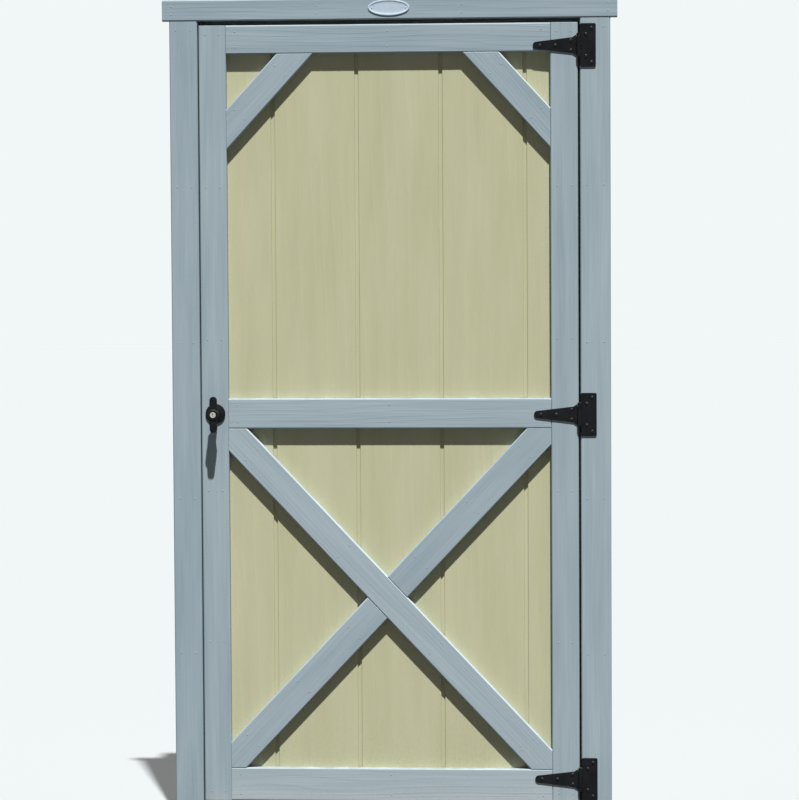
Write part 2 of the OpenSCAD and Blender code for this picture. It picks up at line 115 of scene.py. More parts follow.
def place(tree, group, links=None, values=None):
    """Puts a shared node group into a material, and returns its outputs."""
    return add(tree, "ShaderNodeGroup", links, values, node_tree=group).outputs


def stretched_noise(tree, vector, stretch, detail=4.0, roughness=0.55):
    """Noise drawn out along one axis: stretch is how many lumps there are in a metre on each axis."""
    scaled = add(tree, "ShaderNodeVectorMath", {0: vector}, {1: stretch}, operation="MULTIPLY")
    noise = add(tree, "ShaderNodeTexNoise", {"Vector": scaled.outputs[0]},
                {"Scale": 1.0, "Detail": detail, "Roughness": roughness})
    return noise.outputs["Fac"]


def remap(tree, value, low, high, to_low=0.0, to_high=1.0):
    """Takes the span from low to high onto another span, and holds it there."""
    node = add(tree, "ShaderNodeMapRange", {"Value": value},
               {"From Min": low, "From Max": high, "To Min": to_low, "To Max": to_high})
    return node.outputs["Result"]


def blend_colour(tree, share, first, second):
    """Mixes two colours; each is a written colour or the output of another node."""
    node = add(tree, "ShaderNodeMix", {"Factor": share}, data_type="RGBA")
    for socket, colour in ((node.inputs[6], first), (node.inputs[7], second)):
        if isinstance(colour, tuple):
            socket.default_value = colour
        else:
            tree.links.new(colour, socket)
    return node.outputs[2]


def finish_material(name):
    """A material with one Principled shader, ready for its sockets to be set."""
    material = bpy.data.materials.new(name)
    material.use_nodes = True
    return material, material.node_tree, material.node_tree.nodes["Principled BSDF"]


def bump(tree, shader, height, distance, strength=1.0):
    """Lets a height in metres shade the surface."""
    node = add(tree, "ShaderNodeBump", {"Height": height}, {"Distance": distance, "Strength": strength})
    tree.links.new(node.outputs["Normal"], shader.inputs["Normal"])


# %% [markdown]
# ## Light, floor and background
# The shadows under the boards tell where the sun stood: a board that is 19 mm proud throws a shadow
# about 45 mm down and 5 mm to the left, so the light comes steeply from above, in front and a little
# from the right. One sun lamp gives that, and a dim sky fills the shadows. The lamp is set so that the
# front of the door shows each colour about as it is written. A second, weaker lamp stands behind the
# door for whoever walks round it. The pale backdrop is only what the camera sees: the sky that lights
# the door stays dim, and so does the light that the floor throws back, which keeps the shadows dark.

# %% Sun and sky
def srgb(red, green, blue):
    """A colour as it is read off a picture, 0 to 255, in the linear values that shaders want."""
    shares = [value / 255 for value in (red, green, blue)]
    return tuple(s / 12.92 if s <= 0.04045 else ((s + 0.055) / 1.055) ** 2.4 for s in shares) + (1.0,)


SUN_TOWARDS = (0.26, -1.0, 2.36)
SUN_STRENGTH, SUN_SPREAD = 6.78, 1.2
BACK_TOWARDS = (-0.45, 1.0, 0.8)
BACK_STRENGTH, BACK_SPREAD = 2.4, 12.0
SKY_COLOUR, SKY_STRENGTH = srgb(255, 249, 250), 0.13
BACKDROP = srgb(241, 247, 247)


def add_sun(name, towards, strength, spread):
    """A sun lamp that shines from the direction it is given, as wide as so many degrees."""
    lamp = bpy.data.lights.new(name, "SUN")
    lamp.energy = strength
    lamp.angle = math.radians(spread)
    holder = bpy.data.objects.new(name, lamp)
    holder.rotation_euler = Vector(towards).to_track_quat("Z", "Y").to_euler()
    scene.collection.objects.link(holder)


def empty_tree(owner):
    """Switches a world or a material to nodes, and returns its tree with nothing in it."""
    owner.use_nodes = True
    owner.node_tree.nodes.clear()
    return owner.node_tree


add_sun("sun", SUN_TOWARDS, SUN_STRENGTH, SUN_SPREAD)
add_sun("back_lamp", BACK_TOWARDS, BACK_STRENGTH, BACK_SPREAD)

scene.world = bpy.data.worlds.new("sky")
sky = empty_tree(scene.world)
ray = add(sky, "ShaderNodeLightPath").outputs
mirrored = add(sky, "ShaderNodeMath", {0: ray["Is Glossy Ray"], 1: ray["Is Transmission Ray"]},
               operation="MAXIMUM")
seen = add(sky, "ShaderNodeMath", {0: ray["Is Camera Ray"], 1: mirrored.outputs[0]}, operation="MAXIMUM")
dim = add(sky, "ShaderNodeBackground", values={"Color": SKY_COLOUR, "Strength": SKY_STRENGTH})
pale = add(sky, "ShaderNodeBackground", values={"Color": BACKDROP})
chosen = add(sky, "ShaderNodeMixShader", {"Fac": seen.outputs[0], 1: dim.outputs[0], 2: pale.outputs[0]})
add(sky, "ShaderNodeOutputWorld", {"Surface": chosen.outputs[0]})
scene.view_settings.view_transform = "Standard"

# %% Floor
FLOOR_COLOUR = (0.3436, 0.3631, 0.3637, 1.0)
FLOOR_SHARE = 0.2
FLOOR_REACH = 30.0

floor_finish = bpy.data.materials.new("floor_finish")
paving = empty_tree(floor_finish)
bounced = add(paving, "ShaderNodeLightPath").outputs["Is Diffuse Ray"]
shown = add(paving, "ShaderNodeBsdfDiffuse", values={"Color": FLOOR_COLOUR})
thrown_colour = tuple(value * FLOOR_SHARE for value in FLOOR_COLOUR[:3]) + (1.0,)
thrown = add(paving, "ShaderNodeBsdfDiffuse", values={"Color": thrown_colour})
floor_mix = add(paving, "ShaderNodeMixShader", {"Fac": bounced, 1: shown.outputs[0], 2: thrown.outputs[0]})
add(paving, "ShaderNodeOutputMaterial", {"Surface": floor_mix.outputs[0]})

floor_mesh = bpy.data.meshes.new("floor")
corners = [(-FLOOR_REACH, -FLOOR_REACH, 0), (FLOOR_REACH, -FLOOR_REACH, 0),
           (FLOOR_REACH, FLOOR_REACH, 0), (-FLOOR_REACH, FLOOR_REACH, 0)]
floor_mesh.from_pydata(corners, [], [(0, 1, 2, 3)])
floor_mesh.materials.append(floor_finish)
floor = bpy.data.objects.new("floor", floor_mesh)
scene.collection.objects.link(floor)
print("floor:", 2 * FLOOR_REACH, "m wide")

# %% [markdown]
# ## Wood, brush and dirt as shared groups
# Every board on the door is wood under its paint, and the grain runs along the board, also on the
# slanting braces. Object coordinates would run the same way through all of them, so each board carries
# an attribute named board instead: metres across it, through it and along it, shifted by a different
# amount for every board. The group below turns that into growth rings and fine fibres.

# %% Wood grain group
def build_wood_grain():
    tree, given, result = new_group(
        "wood_grain",
        [("Board", "NodeSocketVector", None), ("Rings per metre", "NodeSocketFloat", 70.0)],
        [("Rings", "NodeSocketFloat"), ("Fibres", "NodeSocketFloat"), ("Clouds", "NodeSocketFloat")])
    wander = stretched_noise(tree, given["Board"], (9.0, 9.0, 0.9), detail=2.0)
    split = add(tree, "ShaderNodeSeparateXYZ", {"Vector": given["Board"]})
    offset = add(tree, "ShaderNodeMath", {0: wander}, {1: 0.11}, operation="MULTIPLY")
    bent = add(tree, "ShaderNodeMath", {0: split.outputs["X"], 1: offset.outputs[0]}, operation="ADD")
    tilted = add(tree, "ShaderNodeMath", {0: split.outputs["Y"], 2: bent.outputs[0]}, {1: 0.6},
                 operation="MULTIPLY_ADD")
    turns = add(tree, "ShaderNodeMath", {0: tilted.outputs[0], 1: given["Rings per metre"]},
                operation="MULTIPLY")
    share = add(tree, "ShaderNodeMath", {0: turns.outputs[0]}, operation="FRACT")
    late = add(tree, "ShaderNodeMath", {0: share.outputs[0]}, {1: 2.4}, operation="POWER")
    ease = remap(tree, share.outputs[0], 1.0, 0.9)
    rings = add(tree, "ShaderNodeMath", {0: late.outputs[0], 1: ease}, operation="MULTIPLY")
    fibres = stretched_noise(tree, given["Board"], (900.0, 900.0, 14.0), detail=3.0, roughness=0.65)
    clouds = stretched_noise(tree, given["Board"], (14.0, 14.0, 2.2), detail=3.0)
    tree.links.new(rings.outputs[0], result.inputs["Rings"])
    tree.links.new(fibres, result.inputs["Fibres"])
    tree.links.new(clouds, result.inputs["Clouds"])
    return tree


wood_grain = build_wood_grain()
print("group:", wood_grain.name)

# %% [markdown]
# The paint was brushed on. A brush leaves long shallow furrows along the board, and where it was
# lifted the coat is a little thicker or thinner, so the colour drifts in streaks. Both paints on the
# door have this, with their own strength, so it is one group with a tone and a height.

# %% Brushed paint group
def build_brushed_coat():
    tree, given, result = new_group(
        "brushed_coat",
        [("Board", "NodeSocketVector", None)],
        [("Tone", "NodeSocketFloat"), ("Furrows", "NodeSocketFloat")])
    laps = stretched_noise(tree, given["Board"], (38.0, 38.0, 2.6), detail=3.0)
    bristles = stretched_noise(tree, given["Board"], (420.0, 420.0, 5.0), detail=2.0)
    fine = add(tree, "ShaderNodeMath", {0: bristles}, {1: 0.35}, operation="MULTIPLY")
    tone = add(tree, "ShaderNodeMath", {0: laps, 2: fine.outputs[0]}, {1: 0.65}, operation="MULTIPLY_ADD")
    tree.links.new(tone.outputs[0], result.inputs["Tone"])
    tree.links.new(bristles, result.inputs["Furrows"])
    return tree


brushed_coat = build_brushed_coat()
print("group:", brushed_coat.name)

# %% [markdown]
# Weather reaches every finish on the door in the same two ways. Dust settles on what faces the sky,
# and rain throws soil up from the ground, so the lowest hand's breadth is the dirtiest. Height is read
# from Object coordinates, which are the same as the door's own, and the facing from the surface normal.

# %% Weather group
def build_weather():
    tree, given, result = new_group(
        "weather",
        [("Object", "NodeSocketVector", None), ("Splash height", "NodeSocketFloat", 0.35)],
        [("Dust", "NodeSocketFloat"), ("Splash", "NodeSocketFloat")])
    facing = add(tree, "ShaderNodeNewGeometry")
    upward = add(tree, "ShaderNodeSeparateXYZ", {"Vector": facing.outputs["Normal"]})
    patches = stretched_noise(tree, given["Object"], (22.0, 22.0, 22.0), detail=5.0, roughness=0.6)
    # Faces that point up. Where the boards and the bare wood put their dark dust colour on this mask, it is
    # real dust and also painted shade on the tops
    ledge = remap(tree, upward.outputs["Z"], 0.35, 0.95)
    patchy = remap(tree, patches, 0.38, 0.66)
    dust = add(tree, "ShaderNodeMath", {0: ledge, 1: patchy}, operation="MULTIPLY")
    place_xyz = add(tree, "ShaderNodeSeparateXYZ", {"Vector": given["Object"]})
    share = add(tree, "ShaderNodeMath", {0: place_xyz.outputs["Z"], 1: given["Splash height"]},
                operation="DIVIDE")
    low = remap(tree, share.outputs[0], 1.0, 0.0)
    steep = add(tree, "ShaderNodeMath", {0: low}, {1: 2.0}, operation="POWER")
    drops = stretched_noise(tree, given["Object"], (160.0, 160.0, 110.0), detail=6.0, roughness=0.7)
    spots = remap(tree, drops, 0.42, 0.62)
    splash = add(tree, "ShaderNodeMath", {0: steep.outputs[0], 1: spots}, operation="MULTIPLY")
    tree.links.new(dust.outputs[0], result.inputs["Dust"])
    tree.links.new(splash.outputs[0], result.inputs["Splash"])
    return tree


weather = build_weather()
print("shared groups:", [group.name for group in bpy.data.node_groups])

# %% [markdown]
# ## The blue-grey trim paint
# The frame and every face board wear a satin blue-grey paint. It is thin enough for the grain to show as
# faint relief, and its tone drifts in streaks along each board. The base colour is the photograph's lit
# board, and the streaks go a little to either side of it. A pale colour on the upper eased edges of two
# slanting boards is a painted highlight. The dark dust on the tops of the boards is real dust, and it is also
# painted shade that dims their sunlit tops.

# %% Trim paint
SOIL = srgb(120, 108, 88)
# Dark dust on tops that face the sky; its darkness also paints shade over their sunlit tops
DUST_AND_TOP_SHADE = srgb(112, 109, 99)
TRIM_DEEP, TRIM_LIGHT = srgb(134, 151, 160), srgb(157, 172, 180)
# The pale colour is sun-faded paint on the boards, and it is a painted highlight on the upper edges of two
# slanting boards
TRIM_RINGS, TRIM_FADED_AND_HIGHLIGHT = srgb(176, 184, 184), srgb(190, 201, 203)


def build_trim_paint():
    material, tree, shader = finish_material("trim_paint")
    board = add(tree, "ShaderNodeAttribute", attribute_name="board").outputs["Vector"]
    where = add(tree, "ShaderNodeTexCoord").outputs["Object"]
    grain = place(tree, wood_grain, {"Board": board}, {"Rings per metre": 85.0})
    coat = place(tree, brushed_coat, {"Board": board})
    dirt = place(tree, weather, {"Object": where}, {"Splash height": 0.30})
    # How far the paint has faded, and a painted highlight on the upper edges of two slanting boards
    bleach = add(tree, "ShaderNodeAttribute", attribute_name="bleach").outputs["Fac"]
    tone = remap(tree, coat["Tone"], 0.30, 0.68)
    colour = blend_colour(tree, tone, TRIM_DEEP, TRIM_LIGHT)
    worn = remap(tree, grain["Rings"], 0.25, 1.0, 0.0, 0.10)
    colour = blend_colour(tree, worn, colour, TRIM_RINGS)
    colour = blend_colour(tree, bleach, colour, TRIM_FADED_AND_HIGHLIGHT)
    splash = remap(tree, dirt["Splash"], 0.0, 1.0, 0.0, 0.12)
    colour = blend_colour(tree, splash, colour, SOIL)
    # Dust on the tops of the boards, dark enough that it also paints shade over their sunlit tops
    dust = remap(tree, dirt["Dust"], 0.0, 1.0, 0.0, 0.55)
    colour = blend_colour(tree, dust, colour, DUST_AND_TOP_SHADE)
    tree.links.new(colour, shader.inputs["Base Color"])
    dull = remap(tree, coat["Tone"], 0.3, 0.7, 0.50, 0.66)
    tree.links.new(dull, shader.inputs["Roughness"])
    shader.inputs["Specular IOR Level"].default_value = 0.18
    relief = add(tree, "ShaderNodeMath", {0: grain["Fibres"], 2: coat["Furrows"]}, {1: 0.5},
                 operation="MULTIPLY_ADD")
    relief = add(tree, "ShaderNodeMath", {0: grain["Rings"], 2: relief.outputs[0]}, {1: 0.6},
                 operation="MULTIPLY_ADD")
    bump(tree, shader, relief.outputs[0], distance=0.0003, strength=0.7)
    return material


trim_paint = build_trim_paint()
print("finish:", trim_paint.name)

# %% [markdown]
# ## The siding: painted face and bare back
# The sheet between the boards is rough-sawn plywood siding under khaki-cream paint. The saw leaves
# upright fibres and the paint lies over them, so the face is duller and coarser than the trim. Nobody
# paints the inside of a shed door, so the back of the sheet keeps the warm colour of its veneer.

# %% Siding finishes
SIDING_DEEP, SIDING_LIGHT, SIDING_STREAK = srgb(182, 182, 149), srgb(190, 190, 158), srgb(194, 191, 155)


def build_siding_paint():
    material, tree, shader = finish_material("siding_paint")
    board = add(tree, "ShaderNodeAttribute", attribute_name="board").outputs["Vector"]
    where = add(tree, "ShaderNodeTexCoord").outputs["Object"]
    grain = place(tree, wood_grain, {"Board": board}, {"Rings per metre": 38.0})
    coat = place(tree, brushed_coat, {"Board": board})
    dirt = place(tree, weather, {"Object": where}, {"Splash height": 0.45})
    drift = remap(tree, grain["Clouds"], 0.35, 0.65)
    colour = blend_colour(tree, drift, SIDING_DEEP, SIDING_LIGHT)
    streak = remap(tree, coat["Tone"], 0.35, 0.65, 0.0, 0.35)
    colour = blend_colour(tree, streak, colour, SIDING_STREAK)
    splash = remap(tree, dirt["Splash"], 0.0, 1.0, 0.0, 0.2)
    colour = blend_colour(tree, splash, colour, SOIL)
    tree.links.new(colour, shader.inputs["Base Color"])
    dull = remap(tree, coat["Tone"], 0.3, 0.7, 0.62, 0.78)
    tree.links.new(dull, shader.inputs["Roughness"])
    shader.inputs["Specular IOR Level"].default_value = 0.12
    relief = add(tree, "ShaderNodeMath", {0: grain["Fibres"], 2: grain["Rings"]}, {1: 1.2},
                 operation="MULTIPLY_ADD")
    bump(tree, shader, relief.outputs[0], distance=0.0006, strength=0.8)
    return material


def build_bare_wood(name, pale_wood, late_wood, rings, dirt_share, dullness):
    """Unpainted softwood: pale early wood, darker rings, fine fibres, and some handling dirt."""
    material, tree, shader = finish_material(name)
    board = add(tree, "ShaderNodeAttribute", attribute_name="board").outputs["Vector"]
    where = add(tree, "ShaderNodeTexCoord").outputs["Object"]
    grain = place(tree, wood_grain, {"Board": board}, {"Rings per metre": rings})
    dirt = place(tree, weather, {"Object": where}, {"Splash height": 0.4})
    figure = remap(tree, grain["Rings"], 0.0, 1.0, 0.0, 0.8)
    colour = blend_colour(tree, figure, pale_wood, late_wood)
    clouds = remap(tree, grain["Clouds"], 0.35, 0.7, 0.0, 0.35)
    colour = blend_colour(tree, clouds, colour, late_wood)
    fibre = remap(tree, grain["Fibres"], 0.35, 0.7, 0.0, 0.22)
    colour = blend_colour(tree, fibre, colour, late_wood)
    soiled = remap(tree, dirt["Splash"], 0.0, 1.0, 0.0, dirt_share)
    colour = blend_colour(tree, soiled, colour, SOIL)
    # The dark dust on the tops also paints shade there
    dusty = remap(tree, dirt["Dust"], 0.0, 1.0, 0.0, dirt_share)
    colour = blend_colour(tree, dusty, colour, DUST_AND_TOP_SHADE)
    tree.links.new(colour, shader.inputs["Base Color"])
    dull = remap(tree, grain["Fibres"], 0.3, 0.7, dullness - 0.06, dullness + 0.08)
    tree.links.new(dull, shader.inputs["Roughness"])
    shader.inputs["Specular IOR Level"].default_value = 0.3
    relief = add(tree, "ShaderNodeMath", {0: grain["Rings"], 2: grain["Fibres"]}, {1: 0.7},
                 operation="MULTIPLY_ADD")
    bump(tree, shader, relief.outputs[0], distance=0.0004, strength=0.7)
    return material


siding_paint = build_siding_paint()
siding_back = build_bare_wood("siding_back", srgb(206, 178, 138), srgb(168, 128, 84),
                              rings=26.0, dirt_share=0.25, dullness=0.70)
bare_pine = build_bare_wood("bare_pine", srgb(219, 186, 138), srgb(184, 136, 84),
                            rings=80.0, dirt_share=0.25, dullness=0.62)
sill_wood = build_bare_wood("sill_wood", srgb(152, 130, 117), srgb(118, 97, 84),
                            rings=80.0, dirt_share=0.30, dullness=0.70)
print("wood finishes:", [material.name for material in bpy.data.materials])

# %% [markdown]
# ## Black iron, screws and bright steel
# The hinges and the handle have a satin black coat, sprayed and baked, which has the fine skin of an
# orange. Dust dulls it where it faces the sky. The screws are smoother and darker. The key cylinder
# and the latch inside are plain plated steel with scratches from use.

# %% Metal finishes
IRON_DEEP, IRON_LIGHT, IRON_DUST = srgb(13, 14, 16), srgb(24, 25, 28), srgb(120, 120, 116)


def build_black_iron():
    material, tree, shader = finish_material("black_iron")
    where = add(tree, "ShaderNodeTexCoord").outputs["Object"]
    dirt = place(tree, weather, {"Object": where}, {"Splash height": 0.3})
    skin = stretched_noise(tree, where, (900.0, 900.0, 900.0), detail=2.0)
    cast = stretched_noise(tree, where, (30.0, 30.0, 30.0), detail=4.0)
    shade = remap(tree, cast, 0.3, 0.7)
    colour = blend_colour(tree, shade, IRON_DEEP, IRON_LIGHT)
    dust = remap(tree, dirt["Dust"], 0.0, 1.0, 0.0, 0.30)
    colour = blend_colour(tree, dust, colour, IRON_DUST)
    tree.links.new(colour, shader.inputs["Base Color"])
    dull = remap(tree, cast, 0.3, 0.7, 0.42, 0.56)
    tree.links.new(dull, shader.inputs["Roughness"])
    shader.inputs["Specular IOR Level"].default_value = 0.1
    bump(tree, shader, skin, distance=0.0002, strength=0.5)
    return material


def build_plain_metal(name, low_colour, high_colour, metal, dull_low, dull_high):
    """A smooth plated or coated metal with faint scratches."""
    material, tree, shader = finish_material(name)
    where = add(tree, "ShaderNodeTexCoord").outputs["Object"]
    scratches = stretched_noise(tree, where, (150.0, 2200.0, 1500.0), detail=3.0)
    patches = stretched_noise(tree, where, (120.0, 120.0, 120.0), detail=4.0)
    shade = remap(tree, patches, 0.3, 0.7)
    colour = blend_colour(tree, shade, low_colour, high_colour)
    tree.links.new(colour, shader.inputs["Base Color"])
    dull = remap(tree, scratches, 0.3, 0.7, dull_low, dull_high)
    tree.links.new(dull, shader.inputs["Roughness"])
    shader.inputs["Metallic"].default_value = metal
    shader.inputs["Specular IOR Level"].default_value = 0.2
    bump(tree, shader, scratches, distance=0.00005, strength=0.4)
    return material


black_iron = build_black_iron()
black_screws = build_plain_metal("black_screws", srgb(20, 21, 23), srgb(34, 35, 37),
                                 metal=0.0, dull_low=0.30, dull_high=0.44)
bright_steel = build_plain_metal("bright_steel", srgb(176, 173, 166), srgb(202, 199, 190),
                                 metal=1.0, dull_low=0.24, dull_high=0.40)
print("metal finishes:", [material.name for material in (black_iron, black_screws, bright_steel)])

# %% [markdown]
# ## Sawn and eased boards
# A board straight from the solids has corners sharper than any real one. A copy of each is welded,
# because a solid arrives as loose triangles, and its flat faces are joined up again. The long edges are
# then marked with a bevel weight, and a Bevel modifier eases them by less than a millimetre. Small
# drilled holes keep their edges: they sit under hinges and plates. A board stays flat shaded, because
# smooth shading would tilt the light along its thin eased strips. Metal is smooth, and there the modifier
# hardens the normals, so that flat sheet stays flat. Last, each board gets its own grain coordinates.

# %% Rounded copies of the solids
WELD = 1e-6
FLAT_ANGLE = math.radians(0.4)
CORNER_ANGLE = math.radians(24)
SHARP_ANGLE = math.radians(34)


def unfinished_copy(node, name, shortest_edge):
    """A welded copy of one solid, with the corners that a Bevel modifier may round marked on it."""
    shape = bmesh.new()
    shape.from_mesh(frame["nodes"][node].data)
    bmesh.ops.remove_doubles(shape, verts=shape.verts, dist=WELD)
    bmesh.ops.dissolve_limit(shape, angle_limit=FLAT_ANGLE, verts=shape.verts, edges=shape.edges)
    weight = shape.edges.layers.float.new("bevel_weight_edge")
    for edge in shape.edges:
        if edge.is_manifold and edge.is_convex and edge.calc_length() > shortest_edge:
            edge[weight] = float(edge.calc_face_angle() > CORNER_ANGLE)
    mesh = bpy.data.meshes.new(name)
    shape.to_mesh(mesh)
    shape.free()
    for layer in ("custom_normal", "UVMap"):
        if layer in mesh.attributes:
            mesh.attributes.remove(mesh.attributes[layer])
    return mesh


def settle(piece):
    """Turns what the modifiers show into a plain mesh, and takes the modifiers off."""
    bpy.context.view_layer.update()
    solved = piece.evaluated_get(bpy.context.evaluated_depsgraph_get())
    mesh = bpy.data.meshes.new_from_object(solved)
    piece.modifiers.clear()
    piece.data = mesh
    mesh.name = piece.name
    for index in reversed(range(len(mesh.materials))):
        if mesh.materials[index] is None:
            mesh.materials.pop(index=index)
    return piece


def rounded(node, name, radius, shortest_edge, smooth, material):
    """A copy of a solid with rounded corners and one finish."""
    mesh = unfinished_copy(node, name, shortest_edge)
    mesh.materials.clear()
    mesh.materials.append(material)
    if smooth:
        mesh.shade_smooth()
        mesh.set_sharp_from_angle(angle=SHARP_ANGLE)
    else:
        mesh.shade_flat()
    piece = bpy.data.objects.new(name, mesh)
    scene.collection.objects.link(piece)
    edge = piece.modifiers.new("eased_edges", "BEVEL")
    edge.limit_method = "WEIGHT"
    edge.width = radius
    edge.segments = 2
    edge.harden_normals = smooth
    return settle(piece)


def body_of(node):
    """The moving body that a solid belongs to."""
    return next(body for body, nodes in frame["record"]["behaviour"]["bodies"].items() if node in nodes)


def hand_over(piece, node):
    """The piece stands for its solid, and moves with its body."""
    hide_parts(node)
    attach(piece, body_of(node))


# %% Grain along each board
EASED = 0.0009
SHORTEST_BOARD_EDGE = 0.006
GRAIN_SEED, GRAIN_SPREAD = 11, 9
UP, FRONT, BEHIND = Vector((0, 0, 1)), Vector((0, -1, 0)), Vector((0, 1, 0))


def diagonal(node, rises_to_right):
    """The direction of a board that runs from corner to corner of a solid's box, in the door's plane."""
    low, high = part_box(node)
    width = high.x - low.x if rises_to_right else low.x - high.x
    return Vector((width, 0, high.z - low.z)).normalized()


def run_of(node):
    """The direction of a straight board: the longest side of its box."""
    low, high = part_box(node)
    size = high - low
    longest = max(range(3), key=lambda axis: size[axis])
    return Vector([float(axis == longest) for axis in range(3)])


def lay_grain(piece, along, shift):
    """Stores metres across, through and along the board on every corner point."""
    across = BEHIND.cross(along)
    grain = piece.data.attributes.new("board", "FLOAT_VECTOR", "POINT")
    for vertex, entry in zip(piece.data.vertices, grain.data):
        entry.vector = Vector((vertex.co.dot(across), vertex.co.y, vertex.co.dot(along))) + shift


# %% Faded boards and painted edge highlights in their places
# How far each board has faded: the head sits under the eaves, and the bottom rail gets the most weather
BLEACHED = {
    "head_casing": 0.0,
    "strike_casing": 0.03,
    "hinge_casing": 0.12,
    "top_rail": 0.06,
    "lock_rail": 0.14,
    "bottom_rail": 0.30,
    "cross_brace": 0.20,
}
USUAL_BLEACH = 0.09
# The eased upper edges of two slanting boards face the sun, and a pale colour on them is a painted highlight
PAINTED_EDGE_HIGHLIGHTS = {"cross_brace": 0.75, "right_corner_brace": 0.75}
UPWARD, FORWARD = 0.25, -0.2
SLANTED = {
    "left_corner_brace": diagonal("left_corner_brace", True),
    "right_corner_brace": diagonal("right_corner_brace", False),
    "cross_brace": diagonal("cross_brace", False),
    "cross_brace_upper": diagonal("cross_brace", True),
    "cross_brace_lower": diagonal("cross_brace", True),
}
BOARDS = {
    "trim_paint": (trim_paint, [
        "strike_jamb", "hinge_jamb", "head_jamb", "strike_casing", "hinge_casing", "head_casing",
        "strike_stop", "hinge_stop", "head_stop", "strike_stile", "hinge_stile", "top_rail", "lock_rail",
        "bottom_rail", *SLANTED]),
    "bare_pine": (bare_pine, [
        "back_strike_stile", "back_hinge_stile", "back_top_rail", "back_lock_rail", "back_bottom_rail"]),
    "sill_wood": (sill_wood, ["sill"]),
}


def fade_and_light_edges(board, node):
    """Stores how far each face of a board has faded, and the painted highlight on the upper edges of some
    slanting boards.
    """
    face_bleach = BLEACHED.get(node, USUAL_BLEACH)
    edge_highlight = PAINTED_EDGE_HIGHLIGHTS.get(node, face_bleach)
    fade_and_highlight_layer = board.data.attributes.new("bleach", "FLOAT", "FACE")
    for face, entry in zip(board.data.polygons, fade_and_highlight_layer.data):
        # Facets that face up and forward: on the listed boards they get the painted highlight
        on_edge = face.normal.z > UPWARD and face.normal.y < FORWARD
        entry.value = edge_highlight if on_edge else face_bleach


chance = random.Random(GRAIN_SEED)
for slot_name, (finish, nodes) in BOARDS.items():
    for node in nodes:
        board = rounded(node, node + "_board", EASED, SHORTEST_BOARD_EDGE, False, finish)
        shift = Vector([chance.uniform(0, GRAIN_SPREAD) for axis in range(3)])
        lay_grain(board, SLANTED.get(node) or run_of(node), shift)
        fade_and_light_edges(board, node)
        hand_over(board, node)
print("boards:", sum(len(nodes) for finish, nodes in BOARDS.values()))

# %% [markdown]
# ## The grooved siding sheet
# The sheet is the one large piece that follows a plain rule: a router cuts the same groove at an even
# pitch across it. Geometry Nodes can do just that. A box makes the sheet, a line of points holds one
# groove cutter each, and a boolean takes all the cutters away at once, with the bore for the handle.
# A curve could be swept along the height instead, but then the pitch would be lost in its points.

# %% Tree for the siding sheet
CUT_OVER = 0.05
BORE_SIDES, BORE_LENGTH = 48, 0.2
FACES_BACK = 0.9


def new_geometry_tree(name, inputs):
    """A geometry tree with named inputs. Returns the tree, its input sockets and its output node."""
    tree = bpy.data.node_groups.new(name, "GeometryNodeTree")
    tree.is_modifier = True
    for label, kind in [("Geometry", "NodeSocketGeometry"), *inputs]:
        tree.interface.new_socket(name=label, in_out="INPUT", socket_type=kind)
    tree.interface.new_socket(name="Geometry", in_out="OUTPUT", socket_type="NodeSocketGeometry")
    return tree, tree.nodes.new("NodeGroupInput").outputs, tree.nodes.new("NodeGroupOutput")


